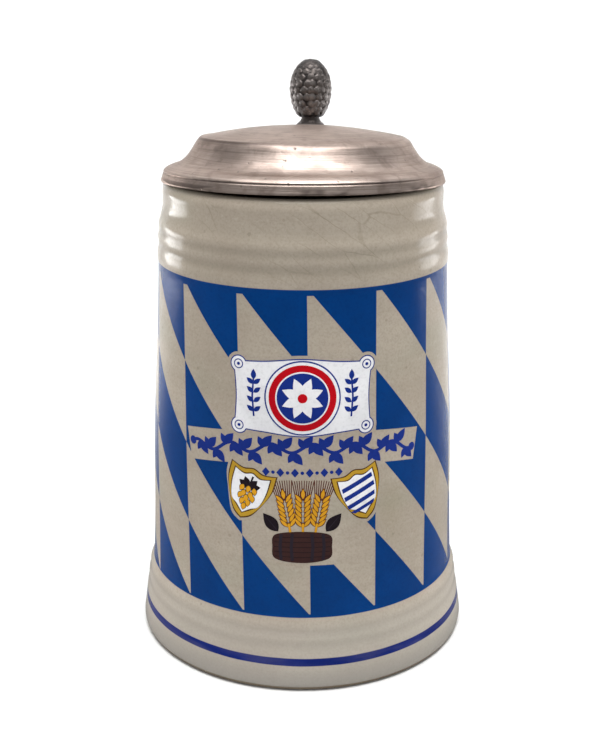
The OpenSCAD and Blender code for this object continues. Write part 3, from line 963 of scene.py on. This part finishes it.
def print_shields(margin):
    """Two gold-edged shields: a hop cone with leaves, and slanted bars; returns the bare ground."""
    left, right = (-15.3, 58.4, -16), (16.2, 58.0, 16)
    for label, where in (("left", left), ("right", right)):
        for name, grow, ink, layer in (("line", 0.85, "brown", 1), ("border", 0.50, "brass", 2),
                                       ("inner_line", -0.52, "brown", 3), ("field", -0.86, "white", 4)):
            wrap_print(f"shield_{label}_{name}", placed([shield(grow)], *where), layer, ink)
    leaves = [leaf(3.5, 2.1, 0, 1.2, 90 + t) for t in (-66, -32, 32, 66)]
    cone = [leaf(2.1, 1.35, x, y, -90 + x * 12) for x, y in (
        (-1.55, 1.7), (0, 1.9), (1.55, 1.7), (-0.85, 0.3), (0.85, 0.3), (-1.5, -0.6), (0, -0.9),
        (1.5, -0.6), (-0.75, -2.1), (0.75, -2.1), (0, -3.5))]
    stem = stroke([(0, 1.0), (0.4, 4.9)], 0.5)
    bars = [[(-4.7, y), (4.7, y + 1.6), (4.7, y + 2.9), (-4.7, y + 1.3)] for y in (1.7, -0.9)]
    bars.append([(-4.3, -3.5), (4.0, -2.1), (4.3, -0.85), (-4.6, -2.3)])
    bars.append([(-2.9, -5.3), (2.9, -4.4), (3.6, -3.3), (-3.9, -4.5)])
    for name, shapes, where, layer, ink in (
            ("hop_leaves", leaves, left, 5, "dark"),
            ("hop_lines", [grown(p, 0.16) for p in cone], left, 6, "dark"),
            ("hop", cone, left, 7, "gold"),
            ("hop_stem", [stem], left, 6, "dark"),
            ("bars", bars, right, 5, "navy")):
        wrap_print(f"shield_{name}", placed(shapes, *where), layer, ink)
    return [placed([shield(0.75 + margin)], *where)[0] for where in (left, right)]


def print_sheaf():
    """Three ears of barley standing behind a small keg between two leaves."""
    ears = [barley_ear(x, 48.9, turn) for x, turn in ((-3.5, 10), (0.2, 0), (3.9, -10))]
    kernels, awns, stalks = (sum(parts, []) for parts in zip(*ears))
    wrap_print("barley_awns", awns, 1, "rust")
    wrap_print("barley_lines", [grown(p, 0.3) for p in kernels + stalks], 2, "rust")
    wrap_print("barley_ears", kernels + stalks, 3, "gold")
    body = smooth_line([(-8.3, 43.0), (-7.5, 46.6), (0, 47.7), (7.5, 46.6), (8.3, 43.0), (7.5, 39.4),
                        (0, 38.3), (-7.5, 39.4), (-8.3, 43.0)], 6)[:-1]
    wrap_print("keg", [body], 4, "keg")
    staves = []
    for y in (40.2, 41.6, 43.0, 44.4, 45.8):
        x = 7.9 - abs(y - 43) * 0.12
        staves.append(stroke([(-x, y), (0, y + (y - 43) * 0.09), (x, y)], 0.16))
    hoops = []
    for side in (-1, 1):
        for x in (2.7, 5.8):
            bent = [(side * x, 38.75 + x * 0.07), (side * (x + 0.3), 43), (side * x, 47.25 - x * 0.07)]
            hoops.append(stroke(bent, 0.85))
    wrap_print("keg_staves", staves, 5, "dark")
    wrap_print("keg_hoops", hoops, 6, "iron")
    leaves, veins = [], []
    for side in (-1, 1):
        where = side * 6.6, 47.6, 90 - side * 40
        leaves.append(leaf(6.6, 3.6, *where))
        veins += placed([stroke([(0.6, 0), (5.6, 0)], (0.3, 0.12))], *where)
    wrap_print("keg_leaves", leaves, 4, "dark")
    wrap_print("keg_leaf_veins", veins, 5, "iron")


def make_emblem():
    """Everything printed over the band, on a patch that the lozenges leave bare."""
    margin = 0.85
    clear = print_medallion(margin) + print_shields(margin)
    clear.append(stroke([(x, garland_height(x)) for x in (-34.9 + 69.8 * i / 24 for i in range(25))], 9.2))
    side = [(19.5, 68.4), (19.5, 66.4), (15.8, 64.5), (12.6, 60), (12.2, 52), (11.6, 46.5), (10.0, 37.5)]
    clear.append([(-19.5, 68.4), *side, *((-x, y) for x, y in side[:0:-1])])
    wrap_print("emblem_ground", clear, 0, "bare")
    wrap_print("vine", garland(), 1, "navy")
    bead = [(0, 1.3), (1.1, 0), (0, -1.3), (-1.1, 0)]
    beads = [placed([bead], -10 + 4 * k, 64.9)[0] for k in range(6)]
    beads += [circle(-8 + 4 * k, 64.9, 0.5, 16) for k in range(5)]
    wrap_print("beading", beads, 1, "navy")
    print_sheaf()


# ---- camera, light and stage ----

def make_camera():
    distance, height = 0.3452, 0.1922
    place = Vector((distance * math.sin(PRINT_TURN), -distance * math.cos(PRINT_TURN), height))
    data = bpy.data.cameras.new("camera")
    data.lens = 57.6
    data.sensor_width = 36.0
    data.clip_start = 0.01
    camera = link_new("camera", data)
    camera.location = place
    pan = Matrix.Rotation(PRINT_TURN + math.radians(0.105), 3, "Z")
    pitch, roll = (Matrix.Rotation(math.radians(a), 3, axis) for a, axis in ((71.7, "X"), (0.12, "Z")))
    camera.rotation_euler = (pan @ pitch @ roll).to_euler()
    bpy.context.scene.camera = camera


def soft_light(name, location, target, size, power):
    data = bpy.data.lights.new(name, "AREA")
    data.shape = "RECTANGLE"
    data.size, data.size_y = size
    data.energy = power
    light = link_new(name, data)
    light.location = location
    light.rotation_euler = (Vector(target) - Vector(location)).to_track_quat("-Z", "Y").to_euler()


def make_stage():
    """A pale floor that curves up into a pale wall behind the stein."""
    wall_y, curve, half, front, top = 0.42, 0.10, 2.2, -0.30, 1.8
    profile = [(front, 0.0), *arc((wall_y - curve, curve), curve, curve, -90, 0, 9), (wall_y, top)]
    bm = bmesh.new()
    verts = [bm.verts.new((-half, y, z)) for y, z in profile]
    edges = [bm.edges.new(pair) for pair in zip(verts, verts[1:])]
    moved = new_verts(bmesh.ops.extrude_edge_only(bm, edges=edges)["geom"])
    bmesh.ops.translate(bm, vec=(2 * half, 0, 0), verts=moved)
    bmesh.ops.recalc_face_normals(bm, faces=bm.faces)
    if bm.faces[:][0].normal.z < 0:
        bmesh.ops.reverse_faces(bm, faces=bm.faces)
    material, g, shader, place = new_material("studio paper", Roughness=0.9)
    tone = g.mix(g.noise(place, 3.0), (0.86,) * 3, (0.90,) * 3)
    # the glaze mirrors a dark room in front of it, not the bright paper
    rays = g.node("ShaderNodeLightPath").outputs
    in_front = g.step(0.21, 0.07, g.split(place)[1])
    dark = g.mul(rays["Is Glossy Ray"], in_front)
    g.join(shader.inputs["Base Color"], g.mix(dark, tone, (0.26,) * 3))
    # a camera standing behind the wall sees through it
    behind = g.node("ShaderNodeNewGeometry").outputs["Backfacing"]
    g.join(shader.inputs["Alpha"], g.sub(1.0, g.mul(rays["Is Camera Ray"], behind)))
    floor = new_mesh("studio_floor", bm, material)
    floor.data.shade_smooth()


def make_world():
    """White to the camera, a softer grey tent to the stein, darker below the table's edge."""
    bpy.context.scene.view_settings.view_transform = "Standard"
    world = bpy.data.worlds.new("studio")
    world.use_nodes = True
    bpy.context.scene.world = world
    g = Graph(world.node_tree)
    back = world.node_tree.nodes["Background"]
    height = g.split(g.node("ShaderNodeTexCoord").outputs["Generated"])[2]
    tent = g.mix(g.step(-0.35, 0.15, height), (0.30, 0.30, 0.31), (0.47,) * 3)
    seen = g.node("ShaderNodeLightPath").outputs["Is Camera Ray"]
    g.join(back.inputs["Color"], g.mix(seen, tent, (0.974,) * 3))


def make_lights():
    soft_light("ceiling", (0, 0.25, 1.5), (0, 0.1, 0), (1.3, 1.1), 8.9)
    soft_light("softbox", (0.05, -0.30, 0.92), (0, 0, 0.14), (0.52, 0.24), 4.4)
    for side, power in ((-1, 1.9), (1, 1.3)):
        soft_light(f"side_screen_{side + 1}", (side * 0.55, 0.36, 0.05), (0, 0.02, 0.01), (0.5, 0.10), power)
    soft_light("backdrop_wash", (0, 0.0, 1.2), (0, 0.42, 0.25), (1.4, 0.3), 6.0)


# ---- build ----

glazed = stoneware("glazed stoneware with print", decorated=True)
plain = stoneware("glazed stoneware", decorated=False)
turned = turned_pewter("turned pewter")
cast = cast_pewter("cast pewter")
INKS = {name: enamel_print(f"ink {name}", colour) for name, colour in (
    ("navy", (0.010, 0.030, 0.225)),
    ("white", (0.84, 0.84, 0.86)),
    ("red", (0.50, 0.004, 0.010)),
    ("gold", (0.70, 0.34, 0.018)),
    ("brass", (0.50, 0.300, 0.028)),
    ("brown", (0.075, 0.030, 0.010)),
    ("rust", (0.100, 0.028, 0.018)),
    ("keg", (0.042, 0.018, 0.016)),
    ("iron", (0.024, 0.018, 0.026)),
    ("dark", (0.014, 0.009, 0.012)))}
INKS["bare"] = plain  # the patch that the lozenges leave free

make_vessel(glazed)
make_handle(plain)
make_emblem()
make_strap(cast)
soften_cad("hinge_shank", "hinge_bracket", cast, "mug")
make_pin_caps(cast)
make_lid_shell(turned)
make_lid_rim(turned)
soften_cad("lid_tongue", "lid_tang", cast, "lid")
make_post(blackened_pewter("dark pewter stem", relief=False))
make_cone(blackened_pewter("dark pewter cone", relief=True))

pin = frame["nodes"]["hinge_pin"]
pin.data.materials.clear()
pin.data.materials.append(drawn_steel("drawn steel"))

make_camera()
make_stage()
make_world()
make_lights()
